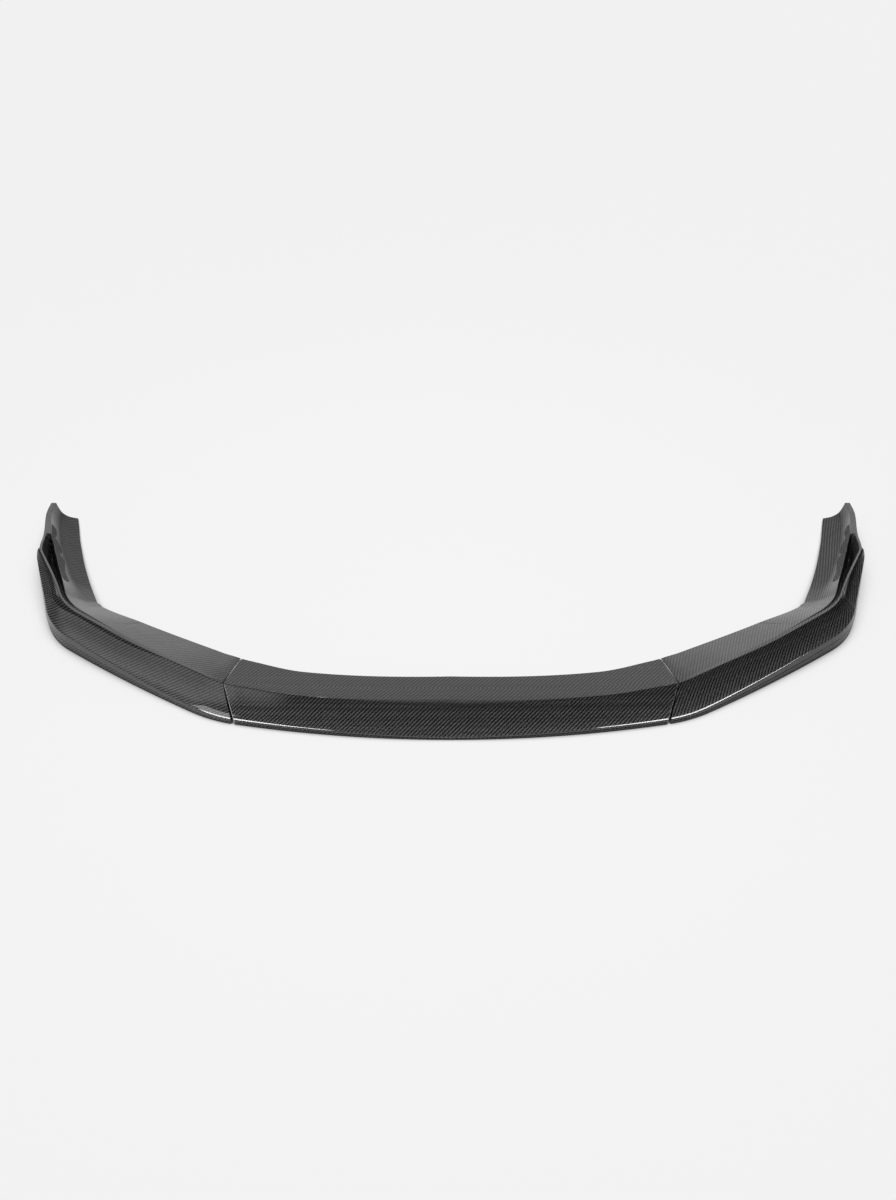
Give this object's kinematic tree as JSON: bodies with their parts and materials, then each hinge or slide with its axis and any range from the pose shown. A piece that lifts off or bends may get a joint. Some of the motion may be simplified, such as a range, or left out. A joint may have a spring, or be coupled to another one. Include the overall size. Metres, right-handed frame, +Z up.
{
  "type": "front splitter lip",
  "caption": "Front splitter lip for a car bumper: curved centre and mirrored side mouldings with hollow faces, a top flange and raised fins by the wheel arches, in glossy woven laminate.",
  "frame": {"origin": "on the floor, below the middle of the bounding box", "axes": "+X across to the car's left side, -Y the way the car drives, so the leading edge is at low Y, +Z up"},
  "size_m": [1.7648, 0.62, 0.075],
  "materials": {
    "laminate": "clear-coated dark twill weave"
  },
  "bodies": {
    "root": {"centre_lip": "laminate", "left_side_lip": "laminate", "right_side_lip": "laminate"}
  },
  "joints": []
}
